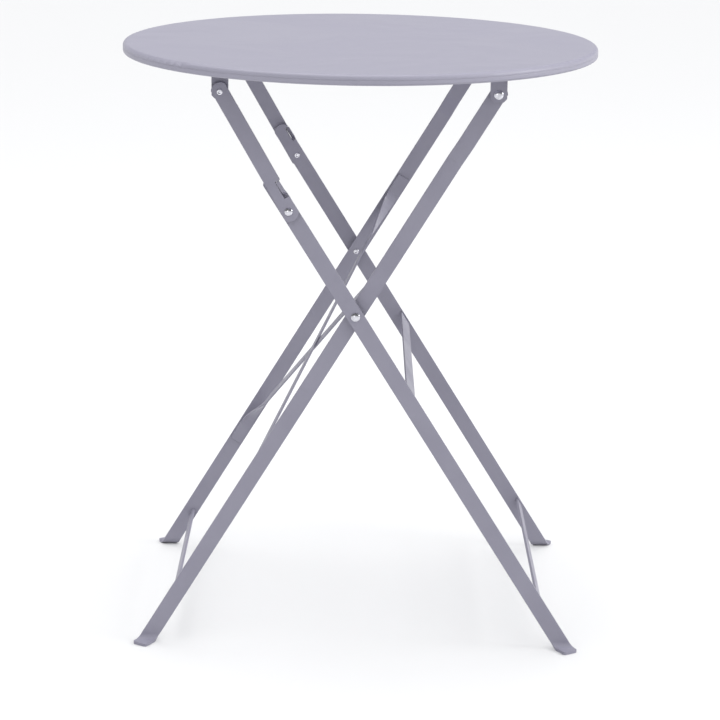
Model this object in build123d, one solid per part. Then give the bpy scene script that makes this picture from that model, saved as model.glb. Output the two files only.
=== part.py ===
from build123d import *
import os
from math import atan2, cos, degrees, pi, radians, sin, sqrt

# Folding bistro table: a round sheet-steel top on two flat-bar leg frames that cross like
# scissors, held open by a pair of links that go over dead centre. Millimetres.
# Origin on the floor under the centre of the top, +Z up, -Y the front, +X to the right.

# ---- top ----
top_diameter = 600.0
table_height = 745.0
sheet = 1.2                 # thickness of the pressed sheet
rim_height = 12.5           # depth of the rolled rim
rim_shoulder = 5.0          # outer radius between the top and the rim
rim_curl = 2.6              # outer radius at the bottom of the rim
rim_hem = 9.0               # width of the hem turned in under the rim
rim_seam_drop = 6.2         # top surface down to the fine groove round the rim
rim_seam = 0.4              # its depth
rim_seam_half = 0.7

# ---- flat bars ----
bar_width = 20.0
bar_thick = 4.0
layer_gap = 1.6             # air between two bars at a pivot, filled by a washer
half_depth = 191.0          # outer face of the outer legs, from the middle plane
ear_bend = 7.0              # outer radius where a crossbar turns down into an ear
ear_chamfer = 4.0

# ---- pivots, seen from the front ----
pivot_drop = 37.0           # top surface down to the ear pivots
ear_left_x = -167.0
ear_right_x = 165.0
cross_x = -2.0              # where the two legs cross
cross_z = 432.5
knee_reach = 155.1          # crossing to knee, along the outer leg
knee_bow = 3.2              # how far the knee stands outside the straight line when open
ear_below = 9.0             # ear below its pivot
end_beyond = 11.0           # link and inner leg beyond their pivots
knee_beyond = 48.0          # outer leg beyond the knee
end_round = 11.5            # radius of the bars' rounded ends
knee_end_extra = 1.5        # the link's lower end is this much longer
link_width = 19.0
front_link_shift = 0.8      # the links' holes stand off their middles, to opposite sides
back_link_shift = 2.1
joggle = 4.8                # the inner legs step this far inward
joggle_start = 74.0         # below the right ear pivot, along the leg
joggle_end = 96.0

# ---- rivets and washers ----
hole_radius = 3.05
shank_radius = 3.0
head_radius = 5.6
knee_head_radius = 4.9
head_height = 2.6
head_edge = 0.7             # straight edge under a dome
tail_radius = 3.8
tail_height = 1.0
tail_hollow = 1.4
dome_shoulder = (0.62, 0.83)    # a point on a dome, as shares of its radius and height
tail_crest = 0.72           # radius of a tail's highest ring, as a share
tail_lip = 0.55             # height of the hollow's rim, as a share
tail_floor = 0.35           # height of the hollow's floor, as a share
washer_radius = 7.0
play = 0.1                  # axial play at a rivet's head, tail and washer

# ---- stop tab on the outer leg, along and across the leg from the knee ----
tab_low = 20.0
tab_high = 38.5
tab_inner = 5.6
tab_proud = 0.7             # the tab's face stands this far out of the link's
tab_rise = 5.0              # length over which the tab climbs out of the leg
tab_root = 1.0              # half the length where it joins the leg
slot_inner = 5.4
slot_below = 2.0
notch_low = 16.5
notch_high = 39.4
notch_air = 0.35

# ---- feet: the bar turns outward about a level line and lies on the floor ----
toe_bend = 6.0              # inner radius of the bend
toe_flat = 11.0             # flat length on the floor, along the middle of the bar
toe_round = 3.0             # corners of the toe
toe_steps = 10

# ---- stretchers and braces, distances along the legs from the crossing ----
strip_width = 20.0
strip_thick = 2.0
strip_below = 118.0
strip_offset = 7.5          # towards the upper edge of the outer leg
rod_width = 10.0
rod_thick = 3.0
outer_rod_below = 434.0
outer_rod_offset = 6.5      # towards the upper edge of the outer leg
inner_rod_below = 446.0
inner_rod_offset = 3.5      # towards the lower edge of the inner leg
brace_width = 16.0
brace_thick = 2.0
brace_above = 110.0         # centre of a brace's upper end
brace_below = 308.0         # centre of its lower end
brace_flat = 26.0           # length of the end that lies flat on the leg
brace_turn = 85.0           # length over which the strip twists
brace_ease = 0.3            # share of that length that keeps the leg's direction
brace_steps = 10

near = 0.01                 # tolerance when edges are picked by their place

# ---- worked out from the sizes above ----
bar_half = bar_width / 2
layer = bar_thick + layer_gap
leg_out = half_depth
leg_in = leg_out - bar_thick
inner_out = leg_out - layer
inner_in = inner_out - bar_thick
low_out = inner_out - joggle
low_in = inner_in - joggle
toe_start = toe_bend + bar_thick
link_out = leg_out + layer
link_in = link_out - bar_thick
pivot_z = table_height - pivot_drop
cross = Vector(cross_x, 0, cross_z)
left_ear = Vector(ear_left_x, 0, pivot_z)
right_ear = Vector(ear_right_x, 0, pivot_z)


def unit(vector):
    return vector / vector.length


def across_of(up):
    """The direction across a bar, to the right of the way it points."""
    return Vector(up.Z, 0, -up.X)


def find_knee():
    straight = unit(left_ear - cross)
    along = sqrt(knee_reach**2 - knee_bow**2)
    return cross + straight * along - across_of(straight) * knee_bow


knee = find_knee()
outer_up = unit(knee - cross)
inner_up = unit(right_ear - cross)
link_up = unit(left_ear - knee)
knee_bend = atan2(outer_up.Z, outer_up.X) - atan2(link_up.Z, link_up.X)


# ---- helpers ----
def seat(point, up):
    """Place for a sketch in X and Z whose own +Y runs up along a bar."""
    return Location((point.X, point.Z, 0), (0, 0, degrees(atan2(up.Z, up.X)) - 90))


def plate(sketch, side, outer, inner):
    """A sketch in X and Z made solid between two distances from the middle plane."""
    low = min(side * outer, side * inner)
    return Pos(0, low, 0) * extrude(Plane.XZ * sketch, amount=-(outer - inner))


def block(left, right, low, high):
    return Pos((left + right) / 2, (low + high) / 2) * Rectangle(right - left, high - low)


def bar_sketch(low, high, round_low=False, round_high=False, half=bar_half):
    """A bar's outline along its own axis, with either end rounded."""
    outline = block(-half, half, low, high)
    corner = end_round - sqrt(end_round**2 - half**2)
    if round_high:
        cap = Pos(0, high - end_round) * Circle(end_round)
        outline = block(-half, half, low, high - corner) + cap & outline
    if round_low:
        cap = Pos(0, low + end_round) * Circle(end_round)
        outline = block(-half, half, low + corner, high) + cap & outline
    return outline


def pin(point, side, outer, inner, radius):
    """A round pin along Y between two distances from the middle plane."""
    place = Location((point.X, side * (outer + inner) / 2, point.Z), (90, 0, 0))
    return place * Cylinder(radius, outer - inner)


def bored(solid, side, *points):
    for point in points:
        solid -= pin(point, side, link_out + bar_thick, low_in - bar_thick, hole_radius)
    return solid


def turned(point, side, outline):
    """A revolved piece on a pivot: an outline of radius and distance from the middle plane."""
    place = Plane((point.X, 0, point.Z), x_dir=(1, 0, 0), z_dir=(0, side, 0))
    return place * revolve(Plane.XZ * make_face(outline), Axis.Z)


def dome(face, way, radius=head_radius):
    """The outline of a rivet's domed head on a face, with the way that it points."""
    rim = face + way * head_edge
    crown = face + way * head_height
    across, up = dome_shoulder
    shoulder = (radius * across, face + way * head_height * up)
    return [ThreePointArc((0, crown), shoulder, (radius, rim)),
            Polyline((radius, rim), (radius, face), (shank_radius, face))]


def tail(face, way):
    """The outline of a rivet's rolled tail, with a shallow hollow in the middle."""
    lip = (tail_hollow, face + way * tail_height * tail_lip)
    roll = (tail_radius * tail_crest, face + way * tail_height)
    return [Line((shank_radius, face), (tail_radius, face)),
            ThreePointArc((tail_radius, face), roll, lip),
            Line(lip, (0, face + way * tail_height * tail_floor))]


def washer(point, side, outer, inner):
    ring = pin(point, side, outer - play, inner + play, washer_radius)
    return ring - pin(point, side, outer, inner, hole_radius)


def swept_strip(stations, width, thick):
    """A flat strip through stations of centre, direction and width direction."""
    faces = []
    for centre, direction, side in stations:
        plane = Plane(origin=centre, x_dir=side, z_dir=direction)
        faces.append(plane * Rectangle(width, thick))
    return loft(Sketch() + faces, ruled=True)


def blend(start, end, share):
    """Directions in between, turning evenly."""
    angle = radians(start.get_angle(end))
    if angle < 1e-6:
        return start
    return unit(start * (sin((1 - share) * angle) / sin(angle)) + end * (sin(share * angle) / sin(angle)))


def square_to(side, direction):
    return unit(side - direction * side.dot(direction))


def curve_point(start, corner, end, share):
    """A point on a quadratic curve."""
    return start * (1 - share)**2 + corner * (2 * share * (1 - share)) + end * share**2


def curve_way(start, corner, end, share):
    return unit((corner - start) * (1 - share) + (end - corner) * share)


# ---- tabletop ----
def make_panel():
    """The pressed top, its rounded shoulder, rolled rim and the hem under it."""
    edge = top_diameter / 2
    base = table_height - rim_height
    low = base + rim_curl
    high = table_height - rim_shoulder
    turn = sqrt(0.5)
    outer_top = Line((0, table_height), (edge - rim_shoulder, table_height))
    outer_arc = ThreePointArc((edge - rim_shoulder, table_height),
                              (edge - rim_shoulder * (1 - turn), high + rim_shoulder * turn),
                              (edge, high))
    seam = table_height - rim_seam_drop
    outer_wall = Polyline((edge, high), (edge, seam + rim_seam_half), (edge - rim_seam, seam),
                          (edge, seam - rim_seam_half), (edge, low))
    outer_curl = ThreePointArc((edge, low),
                               (edge - rim_curl * (1 - turn), low - rim_curl * turn),
                               (edge - rim_curl, base))
    hem = Polyline((edge - rim_curl, base), (edge - rim_curl - rim_hem, base),
                   (edge - rim_curl - rim_hem, base + sheet), (edge - rim_curl, base + sheet))
    inner = edge - sheet
    curl = rim_curl - sheet
    inner_curl = ThreePointArc((edge - rim_curl, base + sheet),
                               (inner - curl * (1 - turn), low - curl * turn),
                               (inner, low))
    inner_wall = Line((inner, low), (inner, high))
    shoulder = rim_shoulder - sheet
    inner_arc = ThreePointArc((inner, high),
                              (inner - shoulder * (1 - turn), high + shoulder * turn),
                              (edge - rim_shoulder, table_height - sheet))
    under = Polyline((edge - rim_shoulder, table_height - sheet), (0, table_height - sheet),
                     (0, table_height))
    outline = [outer_top, outer_arc, outer_wall, outer_curl, hem, inner_curl, inner_wall,
               inner_arc, under]
    return revolve(Plane.XZ * make_face(outline), Axis.Z)


def edges_at(solid, axis, height, distance):
    """Edges along an axis at a height, this far from the middle plane on both sides."""
    return [e for e in solid.edges().filter_by(axis)
            if abs(e.center().Z - height) < near and abs(abs(e.center().Y) - distance) < near]


def make_crossbar(pivot):
    """A flat bar under the top whose ends turn down into ears."""
    top = table_height - sheet
    bottom = pivot.Z - ear_below
    outline = Polyline((-leg_out, bottom), (-leg_out, top), (leg_out, top), (leg_out, bottom),
                       (leg_in, bottom), (leg_in, top - bar_thick),
                       (-leg_in, top - bar_thick), (-leg_in, bottom), close=True)
    bar = extrude(Plane.YZ * make_face(outline), amount=bar_width)
    bar = Pos(pivot.X - bar_half, 0, 0) * bar
    bar = fillet(edges_at(bar, Axis.X, top, leg_out), ear_bend)
    bar = fillet(edges_at(bar, Axis.X, top - bar_thick, leg_in), ear_bend - bar_thick)
    corners = [e for e in bar.edges().filter_by(Axis.Y) if abs(e.center().Z - bottom) < near]
    bar = chamfer(corners, ear_chamfer)
    for side in (-1, 1):
        bar = bored(bar, side, pivot)
    return bar


# ---- legs and links ----
def leg_plate(up, outline, side, outer, inner):
    """A leg's flat bar, cut off level where its toe starts to turn."""
    above = block(-top_diameter, top_diameter, toe_start, table_height)
    return plate(seat(cross, up) * outline & above, side, outer, inner)


def edgewise(up, side, outline, low, high):
    """A side view drawn along a bar and outward, made solid between two distances across it."""
    normal = up.cross(Vector(0, side, 0))
    start = low if normal.dot(across_of(up)) > 0 else -high
    plane = Plane(origin=cross, x_dir=up, z_dir=normal)
    return plane * Pos(0, 0, start) * extrude(make_face(outline), amount=high - low)


def toe(side, up, outer, inner):
    """The foot of a leg: a bend about a level line, then a flat end on the floor."""
    rise = up.Z
    slope = -up.X / rise
    half = bar_half / rise
    radius = toe_bend + bar_thick / 2
    middle = side * (outer + inner) / 2
    start = cross.X + slope * (cross.Z - toe_start)
    faces = []
    for step in range(toe_steps + 1):
        angle = pi / 2 * step / toe_steps
        centre = (start + slope * radius * angle, middle + side * radius * (1 - cos(angle)),
                  toe_start - radius * sin(angle))
        way = (0, side * sin(angle), -cos(angle))
        faces.append(Plane(origin=centre, x_dir=(1, 0, 0), z_dir=way) * Rectangle(2 * half, bar_thick))
    bend = loft(Sketch() + faces, ruled=True)
    hinge = Vector(start + slope * radius * pi / 2, middle + side * radius, 0)
    way = Vector(-up.X, side * rise, 0)
    across = Vector(rise, side * up.X, 0)
    end = hinge + way * toe_flat
    outline = Polyline(hinge - Vector(half, 0, 0), hinge + Vector(half, 0, 0),
                       end + across * bar_half, end - across * bar_half, close=True)
    flat = extrude(make_face(outline), amount=bar_thick, dir=(0, 0, 1))
    corners = flat.edges().filter_by(Axis.Z).sort_by(lambda e: side * e.center().Y)[-2:]
    return bend + fillet(corners, toe_round)


def leg_length(up):
    return (cross.Z - toe_start) / up.Z + bar_width


def make_outer_leg(side):
    """The lower leg: rounded top, lanced stop tab above the knee, bent toe."""
    top = knee_reach + knee_beyond
    outline = bar_sketch(-leg_length(outer_up), top, round_high=True)
    low = knee_reach + tab_low - slot_below
    high = knee_reach + tab_high + slot_below
    outline -= block(slot_inner, bar_width, low, high)
    leg = leg_plate(outer_up, outline, side, leg_out, leg_in)
    leg += toe(side, outer_up, leg_out, leg_in)
    leg += make_tab(side)
    return bored(leg, side, cross, knee)


def make_tab(side):
    """The strip pushed out of the leg, standing in the link's notch."""
    foot = knee_reach + tab_low - slot_below
    end = knee_reach + tab_high
    back, front = foot - tab_root, foot + tab_root
    face = link_out + tab_proud
    outline = Polyline((back, leg_out), (front, leg_out), (front + tab_rise, face), (end, face),
                       (end, face - bar_thick), (front + tab_root + tab_rise, face - bar_thick),
                       (front + tab_root, leg_in), (back, leg_in), close=True)
    return edgewise(outer_up, side, outline, tab_inner, bar_half)


def make_inner_leg(side):
    """A leg that steps inward below its ear and ends in a bent toe."""
    length = (right_ear - cross).length
    high, low = length - joggle_start, length - joggle_end
    step = Polyline((high, inner_out), (high, inner_in), (low, low_in), (low, low_out), close=True)
    upper = bar_sketch(high, length + end_beyond, round_high=True)
    lower = bar_sketch(-leg_length(inner_up), low)
    leg = leg_plate(inner_up, upper, side, inner_out, inner_in)
    leg += edgewise(inner_up, side, step, -bar_half, bar_half)
    leg += leg_plate(inner_up, lower, side, low_out, low_in)
    leg += toe(side, inner_up, low_out, low_in)
    return bored(leg, side, cross, right_ear)


def make_link(side):
    """The short upper bar, rounded at both ends, with a notch for the stop tab."""
    length = (left_ear - knee).length
    low = -end_beyond - knee_end_extra
    outline = bar_sketch(low, length + end_beyond, True, True, link_width / 2)
    outline = Pos(-back_link_shift if side > 0 else front_link_shift, 0) * outline
    wall = tab_inner * cos(knee_bend) - tab_high * sin(knee_bend) - notch_air
    outline -= block(wall, bar_width, notch_low, notch_high)
    link = plate(seat(knee, link_up) * outline, side, link_out, link_in)
    return bored(link, side, knee, left_ear)


# ---- stretchers and braces ----
def make_crosspiece(up, below, offset, width, thick, reach):
    """A flat bar along Y between the two legs of a frame."""
    outline = Pos(offset, -below) * Rectangle(thick, width)
    return plate(seat(cross, up) * outline, 1, reach, -reach)


def make_brace(start_side, layer_shift):
    """A diagonal strip: flat on the leg at each end, turned into the frame's plane between."""
    down = inner_up * -1
    across = across_of(inner_up)
    face = low_in - brace_thick / 2
    upper = cross + inner_up * brace_above + Vector(0, start_side * face, 0)
    lower = cross - inner_up * brace_below - Vector(0, start_side * face, 0)
    straight = unit(lower - upper)
    normal = across
    flat_side = square_to(across, down)
    middle_side = unit(straight.cross(normal))
    if middle_side.Y * start_side < 0:
        middle_side = middle_side * -1
    shift = across * layer_shift
    half = brace_flat / 2
    first = upper + down * half
    last = lower - down * half
    inset = straight * brace_turn
    begin = first + inset + shift
    finish = last - inset + shift
    stations = [(upper - down * half, down, flat_side), (first, down, flat_side)]
    ease = down * (brace_turn * brace_ease)
    for step in range(1, brace_steps):
        share = step / brace_steps
        corner = first + ease
        way = curve_way(first, corner, begin, share)
        side = square_to(blend(flat_side, middle_side, share), way)
        stations.append((curve_point(first, corner, begin, share), way, side))
    stations.append((begin, unit(finish - begin), middle_side))
    stations.append((finish, unit(finish - begin), middle_side))
    far_side = flat_side * -1
    for step in range(1, brace_steps):
        share = step / brace_steps
        corner = last - ease
        way = curve_way(finish, corner, last, share)
        side = square_to(blend(middle_side, far_side, share), way)
        stations.append((curve_point(finish, corner, last, share), way, side))
    stations.append((last, down, far_side))
    stations.append((lower + down * half, down, far_side))
    return swept_strip(stations, brace_width, brace_thick)


# ---- rivets ----
def make_rivet(point, side, head, foot, radius=head_radius):
    """A rivet between two faces, with its head on the first and its tail on the second."""
    way = 1 if head > foot else -1
    crown = head + way * head_height
    hollow = foot - way * tail_height * tail_floor
    outline = dome(head, way, radius) + tail(foot, -way)
    outline += [Line((shank_radius, head), (shank_radius, foot)), Line((0, hollow), (0, crown))]
    return turned(point, side, outline)


def make_head_stud(point, side):
    """The outer half of a rivet that is in two halves: a head on an ear, and its shank."""
    shank = Polyline((shank_radius, leg_out), (shank_radius, leg_in), (0, leg_in),
                     (0, leg_out + head_height))
    return turned(point, side, dome(leg_out, 1) + [shank])


def make_tail_stud(point, side):
    """The inner half of such a rivet: a tail on an inner leg, and its shank."""
    hollow = inner_in - tail_height * tail_floor
    shank = Polyline((shank_radius, inner_in), (shank_radius, inner_out), (0, inner_out),
                     (0, hollow))
    return turned(point, side, tail(inner_in, -1) + [shank])


def build_table():
    parts = {
        "tabletop_panel": make_panel(),
        "left_crossbar": make_crossbar(left_ear),
        "right_crossbar": make_crossbar(right_ear),
        "outer_middle_stretcher": make_crosspiece(
            outer_up, strip_below, strip_offset, strip_width, strip_thick, leg_in),
        "outer_lower_stretcher": make_crosspiece(
            outer_up, outer_rod_below, outer_rod_offset, rod_width, rod_thick, leg_in),
        "inner_lower_stretcher": make_crosspiece(
            inner_up, inner_rod_below, inner_rod_offset, rod_width, rod_thick, low_in),
        "inner_brace_a": make_brace(1, -brace_thick / 2),
        "inner_brace_b": make_brace(-1, brace_thick / 2),
    }
    for name, side in (("front", -1), ("back", 1)):
        parts["inner_leg_" + name] = make_inner_leg(side)
        parts["outer_leg_" + name] = make_outer_leg(side)
        parts["link_" + name] = make_link(side)
        parts["cross_rivet_" + name] = make_rivet(cross, side, leg_out + play, low_in)
        parts["knee_rivet_" + name] = make_rivet(knee, side, link_out + play, leg_in,
                                                 knee_head_radius)
        parts["left_ear_rivet_" + name] = make_rivet(left_ear, side, leg_in, link_out + play)
        parts["right_ear_rivet_outer_" + name] = make_head_stud(right_ear, side)
        parts["right_ear_rivet_inner_" + name] = make_tail_stud(right_ear, side)
        parts["cross_washer_" + name] = washer(cross, side, leg_in, low_out)
        parts["right_ear_washer_" + name] = washer(right_ear, side, leg_in, inner_out)
        parts["knee_washer_" + name] = washer(knee, side, link_in, leg_out)
        parts["left_ear_washer_" + name] = washer(left_ear, side, link_in, leg_out)
    return parts


os.makedirs("parts", exist_ok=True)
for node, solid in build_table().items():
    export_step(solid, "parts/" + node + ".step")
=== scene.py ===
import math

import bmesh
import bpy
from mathutils import Matrix, Vector


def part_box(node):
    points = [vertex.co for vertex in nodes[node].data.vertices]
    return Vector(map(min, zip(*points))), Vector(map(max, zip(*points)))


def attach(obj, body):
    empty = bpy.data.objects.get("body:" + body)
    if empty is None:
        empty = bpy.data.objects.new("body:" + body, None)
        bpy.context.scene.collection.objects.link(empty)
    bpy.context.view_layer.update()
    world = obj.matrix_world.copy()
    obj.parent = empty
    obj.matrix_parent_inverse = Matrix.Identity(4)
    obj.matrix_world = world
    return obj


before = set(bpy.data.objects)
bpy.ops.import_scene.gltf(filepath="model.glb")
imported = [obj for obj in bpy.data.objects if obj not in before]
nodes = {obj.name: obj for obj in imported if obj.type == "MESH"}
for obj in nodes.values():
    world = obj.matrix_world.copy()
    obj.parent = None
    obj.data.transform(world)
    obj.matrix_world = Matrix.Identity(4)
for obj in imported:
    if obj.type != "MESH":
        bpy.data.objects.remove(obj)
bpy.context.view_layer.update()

print("frame loaded:", len(nodes), "parts")

# places taken from the parts themselves, in metres


def middleOf(name):
    low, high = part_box(name)
    return (Vector(low) + Vector(high)) / 2


def flatPoint(name):
    point = middleOf(name)
    return Vector((point.x, 0.0, point.z))


crossPoint = flatPoint("cross_washer_front")
kneePoint = flatPoint("knee_washer_front")
rightEar = flatPoint("right_ear_rivet_inner_front")
outerUp = (kneePoint - crossPoint).normalized()  # along the outer legs
innerUp = (rightEar - crossPoint).normalized()  # along the inner legs
outerAcross = Vector((outerUp.z, 0.0, -outerUp.x))
innerAcross = Vector((innerUp.z, 0.0, -innerUp.x))


# shader helpers
def addNode(tree, kind, **sockets):
    node = tree.nodes.new(kind)
    for name, value in sockets.items():
        node.inputs[name.replace("_", " ")].default_value = value
    return node


def makeGroup(name, inputs, outputs):
    tree = bpy.data.node_groups.new(name, "ShaderNodeTree")
    for label, kind, value in inputs:
        socket = tree.interface.new_socket(label, in_out="INPUT", socket_type=kind)
        socket.default_value = value
    for label, kind in outputs:
        tree.interface.new_socket(label, in_out="OUTPUT", socket_type=kind)
    return tree, tree.nodes.new("NodeGroupInput"), tree.nodes.new("NodeGroupOutput")


def useGroup(tree, group, **values):
    node = tree.nodes.new("ShaderNodeGroup")
    node.node_tree = group
    for name, value in values.items():
        node.inputs[name].default_value = value
    return node


def mathNode(tree, operation, first, second, clamp=False):
    node = tree.nodes.new("ShaderNodeMath")
    node.operation = operation
    node.use_clamp = clamp
    for socket, value in ((node.inputs[0], first), (node.inputs[1], second)):
        if isinstance(value, (int, float)):
            socket.default_value = value
        else:
            tree.links.new(value, socket)
    return node.outputs[0]


def mixColour(tree, factor, first, second):
    node = tree.nodes.new("ShaderNodeMix")
    node.data_type = "RGBA"
    sockets = (node.inputs[0], node.inputs[6], node.inputs[7])  # factor, A and B for colours
    for socket, value in zip(sockets, (factor, first, second)):
        if isinstance(value, bpy.types.NodeSocket):
            tree.links.new(value, socket)
        else:
            socket.default_value = value
    return node.outputs[2]


def mixStrength(tree, factor, first, second):
    node = tree.nodes.new("ShaderNodeMix")
    sockets = (node.inputs[0], node.inputs[2], node.inputs[3])  # factor, A and B for numbers
    for socket, value in zip(sockets, (factor, first, second)):
        if isinstance(value, bpy.types.NodeSocket):
            tree.links.new(value, socket)
        else:
            socket.default_value = value
    return node.outputs[0]


def ramp(tree, value, low, high, outLow=0.0, outHigh=1.0):
    node = tree.nodes.new("ShaderNodeMapRange")
    node.interpolation_type = "SMOOTHSTEP"
    tree.links.new(value, node.inputs["Value"])
    limits = {"From Min": low, "From Max": high, "To Min": outLow, "To Max": outHigh}
    for label, number in limits.items():
        node.inputs[label].default_value = number
    return node.outputs["Result"]


effects = {
    "edgeSamples": 6,
    "cloudSpan": (0.3, 0.7),  # noise values between which a cloud fades in
    "speckSize": 0.34,  # share of a cell
    "scratchSpan": (0.56, 0.66),
    "scratchTurns": (0.35, 1.4, 2.6),  # one turn for each set of scratches
}


# roundedEdge: a soft edge normal and a mask that is 1 on outside edges
def buildRoundedEdge():
    tree, entry, outlet = makeGroup(
        "roundedEdge",
        [("Radius", "NodeSocketFloat", 0.0006), ("Gain", "NodeSocketFloat", 4.0)],
        [("Mask", "NodeSocketFloat"), ("Normal", "NodeSocketVector")])
    bevel = tree.nodes.new("ShaderNodeBevel")
    bevel.samples = effects["edgeSamples"]
    geometry = tree.nodes.new("ShaderNodeNewGeometry")
    dot = tree.nodes.new("ShaderNodeVectorMath")
    dot.operation = "DOT_PRODUCT"
    tree.links.new(entry.outputs["Radius"], bevel.inputs["Radius"])
    tree.links.new(bevel.outputs["Normal"], dot.inputs[0])
    tree.links.new(geometry.outputs["Normal"], dot.inputs[1])
    turned = mathNode(tree, "SUBTRACT", 1.0, dot.outputs["Value"])
    mask = mathNode(tree, "MULTIPLY", turned, entry.outputs["Gain"], clamp=True)
    tree.links.new(mask, outlet.inputs["Mask"])
    tree.links.new(bevel.outputs["Normal"], outlet.inputs["Normal"])
    return tree


# mottle: slow cloudy change over a part, and small specks
def buildMottle():
    tree, entry, outlet = makeGroup(
        "mottle",
        [("Cloud Scale", "NodeSocketFloat", 9.0), ("Speck Scale", "NodeSocketFloat", 700.0),
         ("Speck Share", "NodeSocketFloat", 0.1)],
        [("Cloud", "NodeSocketFloat"), ("Speck", "NodeSocketFloat")])
    place = tree.nodes.new("ShaderNodeTexCoord")
    cloud = addNode(tree, "ShaderNodeTexNoise", Detail=4.0, Roughness=0.55, Distortion=0.4)
    speck = addNode(tree, "ShaderNodeTexVoronoi", Randomness=1.0)
    for texture, label in ((cloud, "Cloud Scale"), (speck, "Speck Scale")):
        tree.links.new(place.outputs["Object"], texture.inputs["Vector"])
        tree.links.new(entry.outputs[label], texture.inputs["Scale"])
    inside = mathNode(tree, "LESS_THAN", speck.outputs["Distance"], effects["speckSize"])
    parts = tree.nodes.new("ShaderNodeSeparateColor")
    tree.links.new(speck.outputs["Color"], parts.inputs["Color"])
    chosen = mathNode(tree, "LESS_THAN", parts.outputs["Red"], entry.outputs["Speck Share"])
    faded = ramp(tree, cloud.outputs["Fac"], *effects["cloudSpan"])
    tree.links.new(faded, outlet.inputs["Cloud"])
    tree.links.new(mathNode(tree, "MULTIPLY", inside, chosen), outlet.inputs["Speck"])
    return tree


# peel: the fine pebbled height of a baked powder finish, with a slower wave under it
def buildPeel():
    tree, entry, outlet = makeGroup(
        "peel",
        [("Grain Scale", "NodeSocketFloat", 1500.0), ("Wave Scale", "NodeSocketFloat", 260.0),
         ("Wave Share", "NodeSocketFloat", 0.4)],
        [("Height", "NodeSocketFloat")])
    place = tree.nodes.new("ShaderNodeTexCoord")
    grain = addNode(tree, "ShaderNodeTexNoise", Detail=2.0, Roughness=0.6)
    wave = addNode(tree, "ShaderNodeTexNoise", Detail=1.0, Roughness=0.4)
    for texture, label in ((grain, "Grain Scale"), (wave, "Wave Scale")):
        tree.links.new(place.outputs["Object"], texture.inputs["Vector"])
        tree.links.new(entry.outputs[label], texture.inputs["Scale"])
    slow = mathNode(tree, "MULTIPLY", wave.outputs["Fac"], entry.outputs["Wave Share"])
    total = mathNode(tree, "ADD", grain.outputs["Fac"], slow)
    tree.links.new(total, outlet.inputs["Height"])
    return tree


# scratches: thin broken lines in all directions, for bare metal
def buildScratches():
    tree, entry, outlet = makeGroup(
        "scratches",
        [("Scale", "NodeSocketFloat", 300.0), ("Stretch", "NodeSocketFloat", 9.0)],
        [("Mask", "NodeSocketFloat")])
    place = tree.nodes.new("ShaderNodeTexCoord")
    masks = []
    for turn in effects["scratchTurns"]:
        mapping = tree.nodes.new("ShaderNodeMapping")
        mapping.inputs["Rotation"].default_value = (turn, turn * 1.7, turn * 0.6)
        stretch = tree.nodes.new("ShaderNodeCombineXYZ")
        tree.links.new(entry.outputs["Stretch"], stretch.inputs["X"])
        stretch.inputs["Y"].default_value = 1.0
        stretch.inputs["Z"].default_value = 1.0
        tree.links.new(stretch.outputs["Vector"], mapping.inputs["Scale"])
        tree.links.new(place.outputs["Object"], mapping.inputs["Vector"])
        noise = addNode(tree, "ShaderNodeTexNoise", Detail=3.0, Roughness=0.6)
        tree.links.new(mapping.outputs["Vector"], noise.inputs["Vector"])
        tree.links.new(entry.outputs["Scale"], noise.inputs["Scale"])
        masks.append(ramp(tree, noise.outputs["Fac"], *effects["scratchSpan"]))
    total = mathNode(tree, "ADD", masks[0], masks[1])
    total = mathNode(tree, "ADD", total, masks[2], clamp=True)
    tree.links.new(total, outlet.inputs["Mask"])
    return tree


roundedEdge = buildRoundedEdge()
mottle = buildMottle()
peel = buildPeel()
scratches = buildScratches()
print("surface effects built")

# the baked coat on the pressed top and on the bars: one paint, but the top's tones are set
# lighter than the bars' as painted light from overhead
paintedLitTopCoat = {
    "tone": (0.288, 0.280, 0.345, 1.0),
    "deepTone": (0.280, 0.272, 0.337, 1.0),
    "speckTone": (0.205, 0.198, 0.262, 1.0),
    "edgeTone": (0.330, 0.320, 0.395, 1.0),
    "cloudScale": 5.0,
    "speckScale": 900.0,
    "speckShare": 0.07,
    "speckAmount": 0.45,
    "edgeRadius": 0.0008,
    "edgeGain": 1.6,
    "grainScale": 1300.0,
    "waveScale": 220.0,
    "grainHeight": 0.00005,
    "grainStrength": 0.35,
    "roughLow": 0.40,
    "roughHigh": 0.52,
    "coat": 0.12,
    "coatRough": 0.25,
}
# the bars carry the paint's own tone, darker than the top's painted-light tones
barCoat = dict(paintedLitTopCoat, tone=(0.250, 0.243, 0.303, 1.0), deepTone=(0.234, 0.227, 0.286, 1.0),
               cloudScale=14.0, edgeRadius=0.0007, edgeGain=2.4, roughLow=0.42, roughHigh=0.56)


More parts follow.
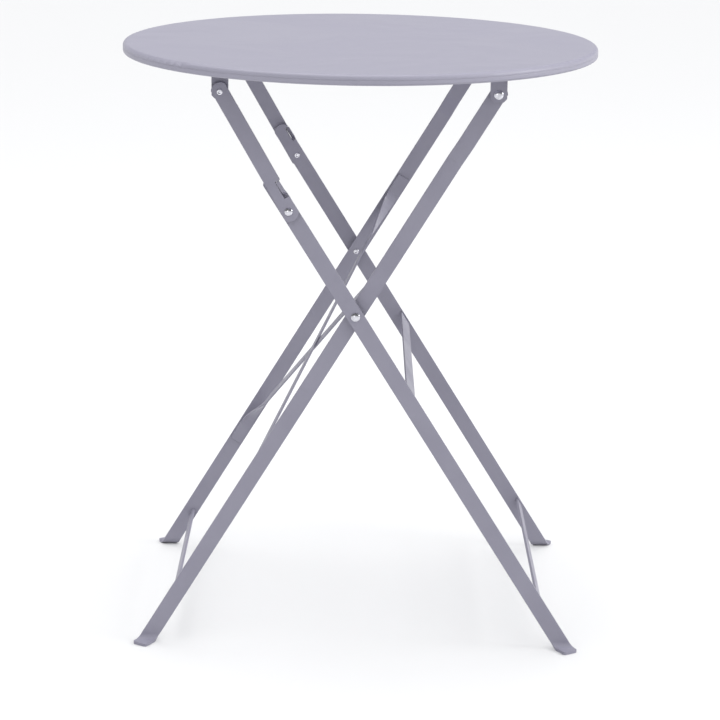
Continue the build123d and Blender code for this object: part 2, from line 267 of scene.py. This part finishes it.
def makeCoat(name, look):
    material = bpy.data.materials.new(name)
    material.use_nodes = True
    tree = material.node_tree
    shader = tree.nodes["Principled BSDF"]
    edge = useGroup(tree, roundedEdge, Radius=look["edgeRadius"], Gain=look["edgeGain"])
    spots = useGroup(tree, mottle, **{
        "Cloud Scale": look["cloudScale"], "Speck Scale": look["speckScale"],
        "Speck Share": look["speckShare"]})
    grain = useGroup(tree, peel, **{
        "Grain Scale": look["grainScale"], "Wave Scale": look["waveScale"]})
    colour = mixColour(tree, spots.outputs["Cloud"], look["tone"], look["deepTone"])
    speckAmount = mathNode(tree, "MULTIPLY", spots.outputs["Speck"], look["speckAmount"])
    colour = mixColour(tree, speckAmount, colour, look["speckTone"])
    wear = mathNode(tree, "MULTIPLY", edge.outputs["Mask"], spots.outputs["Cloud"])
    colour = mixColour(tree, wear, colour, look["edgeTone"])
    tree.links.new(colour, shader.inputs["Base Color"])
    rough = ramp(tree, spots.outputs["Cloud"], 0.0, 1.0, look["roughLow"], look["roughHigh"])
    tree.links.new(rough, shader.inputs["Roughness"])
    bump = tree.nodes.new("ShaderNodeBump")
    bump.inputs["Strength"].default_value = look["grainStrength"]
    bump.inputs["Distance"].default_value = look["grainHeight"]
    tree.links.new(grain.outputs["Height"], bump.inputs["Height"])
    tree.links.new(edge.outputs["Normal"], bump.inputs["Normal"])
    tree.links.new(bump.outputs["Normal"], shader.inputs["Normal"])
    shader.inputs["Coat Weight"].default_value = look["coat"]
    shader.inputs["Coat Roughness"].default_value = look["coatRough"]
    return material


# bright plate on the rivets, duller zinc on the washers
rivetPlate = {
    "tone": (0.72, 0.72, 0.77, 1.0),
    "markTone": (0.58, 0.58, 0.62, 1.0),
    "edgeTone": (0.80, 0.80, 0.85, 1.0),
    "scratchScale": 420.0,
    "roughLow": 0.14,
    "roughHigh": 0.30,
    "edgeRadius": 0.0003,
    "edgeGain": 2.0,
    "blotchScale": 260.0,
    "dentHeight": 0.00004,
    "dentStrength": 0.25,
}
washerZinc = dict(rivetPlate, tone=(0.60, 0.60, 0.62, 1.0), markTone=(0.46, 0.46, 0.47, 1.0),
                  edgeTone=(0.72, 0.72, 0.74, 1.0), roughLow=0.34, roughHigh=0.5)


def makePlate(name, look):
    material = bpy.data.materials.new(name)
    material.use_nodes = True
    tree = material.node_tree
    shader = tree.nodes["Principled BSDF"]
    shader.inputs["Metallic"].default_value = 1.0
    edge = useGroup(tree, roundedEdge, Radius=look["edgeRadius"], Gain=look["edgeGain"])
    marks = useGroup(tree, scratches, Scale=look["scratchScale"])
    spots = useGroup(tree, mottle, **{"Cloud Scale": look["blotchScale"], "Speck Share": 0.0})
    colour = mixColour(tree, spots.outputs["Cloud"], look["tone"], look["markTone"])
    colour = mixColour(tree, edge.outputs["Mask"], colour, look["edgeTone"])
    tree.links.new(colour, shader.inputs["Base Color"])
    spread = look["roughHigh"] - look["roughLow"]
    rough = mathNode(tree, "MULTIPLY", marks.outputs["Mask"], spread)
    rough = mathNode(tree, "ADD", rough, look["roughLow"])
    tree.links.new(rough, shader.inputs["Roughness"])
    bump = tree.nodes.new("ShaderNodeBump")
    bump.inputs["Strength"].default_value = look["dentStrength"]
    bump.inputs["Distance"].default_value = look["dentHeight"]
    tree.links.new(spots.outputs["Cloud"], bump.inputs["Height"])
    tree.links.new(edge.outputs["Normal"], bump.inputs["Normal"])
    tree.links.new(bump.outputs["Normal"], shader.inputs["Normal"])
    return material


finishes = {
    # the top gets the same coat in lighter tones, painted light standing in for the light from
    # overhead
    "top": makeCoat("pressedTopPaintedLitCoat", paintedLitTopCoat),
    "bar": makeCoat("flatBarCoat", barCoat),
    "rivet": makePlate("rivetPlate", rivetPlate),
    "washer": makePlate("washerZinc", washerZinc),
}


def finishFor(name):
    if "rivet" in name:
        return finishes["rivet"]
    if "washer" in name:
        return finishes["washer"]
    return finishes["top" if name == "tabletop_panel" else "bar"]


for name, part in nodes.items():
    part.data.materials.clear()
    part.data.materials.append(finishFor(name))
print("finishes on", len(nodes), "parts")

# weld beads under the coat, along the seams
weld = {
    "radius": 0.0016,
    "ripples": 6,  # per 10 mm
    "ripple": 0.14,
    "endSize": 0.6,  # share of the radius
    "ring": 10,
}


def addBead(mesh, start, end):
    along = end - start
    steps = max(4, round(along.length * 100 * weld["ripples"]))
    size = weld["endSize"]
    turn = Vector((0, 0, 1)).rotation_difference(along.normalized()).to_matrix().to_4x4()
    ring = bmesh.ops.create_circle(mesh, cap_ends=True, segments=weld["ring"],
                                   radius=weld["radius"] * size,
                                   matrix=Matrix.Translation(start) @ turn)
    face = ring["verts"][0].link_faces[0]
    for step in range(1, steps + 1):
        out = bmesh.ops.extrude_face_region(mesh, geom=[face])
        face = [g for g in out["geom"] if isinstance(g, bmesh.types.BMFace)][0]
        bmesh.ops.translate(mesh, verts=face.verts, vec=along / steps)
        wanted = 1.0 + weld["ripple"] * (1 if step % 2 else -1)
        if step == steps:
            wanted = weld["endSize"]
        centre = face.calc_center_median()
        bmesh.ops.scale(mesh, vec=(wanted / size,) * 3, verts=face.verts,
                        space=Matrix.Translation(-centre))
        size = wanted


def weldPiece(name, body, seams):
    mesh = bmesh.new()
    for start, end in seams:
        addBead(mesh, start, end)
    bmesh.ops.recalc_face_normals(mesh, faces=mesh.faces)
    data = bpy.data.meshes.new(name)
    mesh.to_mesh(data)
    mesh.free()
    data.shade_smooth()
    piece = bpy.data.objects.new(name, data)
    bpy.context.scene.collection.objects.link(piece)
    data.materials.append(finishes["bar"])
    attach(piece, body)
    return piece


# half width of the seam, its distance from the crosspiece's middle, its inset from the leg
lowerSeam = {"half": 0.0042, "off": 0.0018, "inset": 0.0006, "edges": (-1, 1)}
middleSeam = {"half": 0.0085, "off": 0.0014, "inset": 0.0004, "edges": (-1,)}


# seams at a crosspiece's ends, where they meet the legs
def crosspieceSeams(name, up, across, seam):
    centre = flatPoint(name)
    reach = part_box(name)[1][1] - seam["inset"]
    seams = []
    for side in (-1, 1):
        for edge in seam["edges"]:
            foot = centre + across * (edge * seam["off"]) + Vector((0, side * reach, 0))
            seams.append((foot - up * seam["half"], foot + up * seam["half"]))
    return seams


outerSeams = crosspieceSeams("outer_lower_stretcher", outerUp, outerAcross, lowerSeam)
outerSeams += crosspieceSeams("outer_middle_stretcher", outerUp, outerAcross, middleSeam)
innerSeams = crosspieceSeams("inner_lower_stretcher", innerUp, innerAcross, lowerSeam)
weldPiece("outerWelds", "outer_frame", outerSeams)
weldPiece("innerWelds", "inner_frame", innerSeams)

# short stitches along both sides of each crossbar, under the top
stitch = {
    "length": 0.022,
    "spots": (-0.13, -0.045, 0.045, 0.13),
    "out": 0.0002,  # out from the bar's edge
    "down": 0.0008,  # down from the sheet
}
topSeams = []
for name in ("left_crossbar", "right_crossbar"):
    low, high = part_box(name)
    for edge in (low[0] - stitch["out"], high[0] + stitch["out"]):
        for spot in stitch["spots"]:
            start = Vector((edge, spot - stitch["length"] / 2, high[2] - stitch["down"]))
            topSeams.append((start, start + Vector((0, stitch["length"], 0))))
weldPiece("topWelds", "tabletop", topSeams)
print("welds:", len(outerSeams) + len(innerSeams) + len(topSeams), "beads")

# floor, light and camera
studio = {
    "floorTone": (0.65, 0.65, 0.652, 1.0),
    "floorSize": 60.0,
    "floorRough": 0.85,
    "floorGloss": 0.15,
    "skyTone": (0.985, 0.99, 1.0, 1.0),
    "horizon": 0.3,  # brightness of the room at eye level
    "overhead": 2.03,
    "glossHorizon": 0.9,  # the darker room that shows in the bright plate
    "glossOverhead": 0.2,
    "glossSpan": (0.13, 0.26),  # heights between which it darkens
    "backdrop": 0.93,  # what the camera sees past the floor
}

lights = {
    "topLight": {"place": (-0.5, 0.3, 2.6), "aim": (0.0, 0.0, 0.6), "size": 1.6, "power": 13.0},
    "frontLight": {"place": (-1.2, -3.6, 1.1), "aim": (0.0, 0.0, 0.5), "size": 1.2, "power": 8.0},
    "sideLight": {"place": (3.2, -0.4, 2.0), "aim": (0.0, 0.0, 0.4), "size": 1.4, "power": 55.0},
}


def makeFloor():
    mesh = bmesh.new()
    bmesh.ops.create_grid(mesh, x_segments=4, y_segments=4, size=studio["floorSize"] / 2)
    data = bpy.data.meshes.new("studioFloor")
    mesh.to_mesh(data)
    mesh.free()
    floor = bpy.data.objects.new("studioFloor", data)
    bpy.context.scene.collection.objects.link(floor)
    material = bpy.data.materials.new("paleFloor")
    material.use_nodes = True
    shader = material.node_tree.nodes["Principled BSDF"]
    shader.inputs["Base Color"].default_value = studio["floorTone"]
    shader.inputs["Roughness"].default_value = studio["floorRough"]
    shader.inputs["Specular IOR Level"].default_value = studio["floorGloss"]
    data.materials.append(material)


def addLight(name, look):
    data = bpy.data.lights.new(name, "AREA")
    data.shape = "SQUARE"
    data.size = look["size"]
    data.energy = look["power"]
    light = bpy.data.objects.new(name, data)
    bpy.context.scene.collection.objects.link(light)
    place = Vector(look["place"])
    aim = (Vector(look["aim"]) - place).to_track_quat("-Z", "Y").to_matrix().to_4x4()
    light.matrix_world = Matrix.Translation(place) @ aim


# a soft room: lit from overhead, darker where the bright plate mirrors it
def makeRoom():
    world = bpy.data.worlds.new("softRoom")
    world.use_nodes = True
    tree = world.node_tree
    sky = tree.nodes["Background"]
    sky.inputs["Color"].default_value = studio["skyTone"]
    direction = tree.nodes.new("ShaderNodeTexCoord")
    height = tree.nodes.new("ShaderNodeSeparateXYZ")
    tree.links.new(direction.outputs["Generated"], height.inputs["Vector"])
    up = height.outputs["Z"]
    lit = ramp(tree, up, 0.0, 1.0, studio["horizon"], studio["overhead"])
    low, high = studio["glossSpan"]
    seen = ramp(tree, up, low, high, studio["glossHorizon"], studio["glossOverhead"])
    rays = tree.nodes.new("ShaderNodeLightPath")
    strength = mixStrength(tree, rays.outputs["Is Glossy Ray"], lit, seen)
    strength = mixStrength(tree, rays.outputs["Is Camera Ray"], strength, studio["backdrop"])
    tree.links.new(strength, sky.inputs["Strength"])
    bpy.context.scene.world = world


makeFloor()
makeRoom()
for name, look in lights.items():
    addLight(name, look)
bpy.context.scene.view_settings.view_transform = "Standard"

# angles in radians, place in metres, lens and sensor in millimetres
viewpoint = {
    "place": (-0.00502, -2.85942, 1.11435),
    "yaw": 0.00345,
    "down": 0.26903,
    "roll": 0.0141,
    "lens": 112.636,
    "sensor": 36.0,
}
cameraData = bpy.data.cameras.new("viewpoint")
cameraData.sensor_width = viewpoint["sensor"]
cameraData.lens = viewpoint["lens"]
camera = bpy.data.objects.new("viewpoint", cameraData)
bpy.context.scene.collection.objects.link(camera)
camera.matrix_world = (Matrix.Translation(viewpoint["place"])
                       @ Matrix.Rotation(-viewpoint["yaw"], 4, "Z")
                       @ Matrix.Rotation(math.pi / 2 - viewpoint["down"], 4, "X")
                       @ Matrix.Rotation(viewpoint["roll"], 4, "Z"))
bpy.context.scene.camera = camera
print("studio and camera ready")
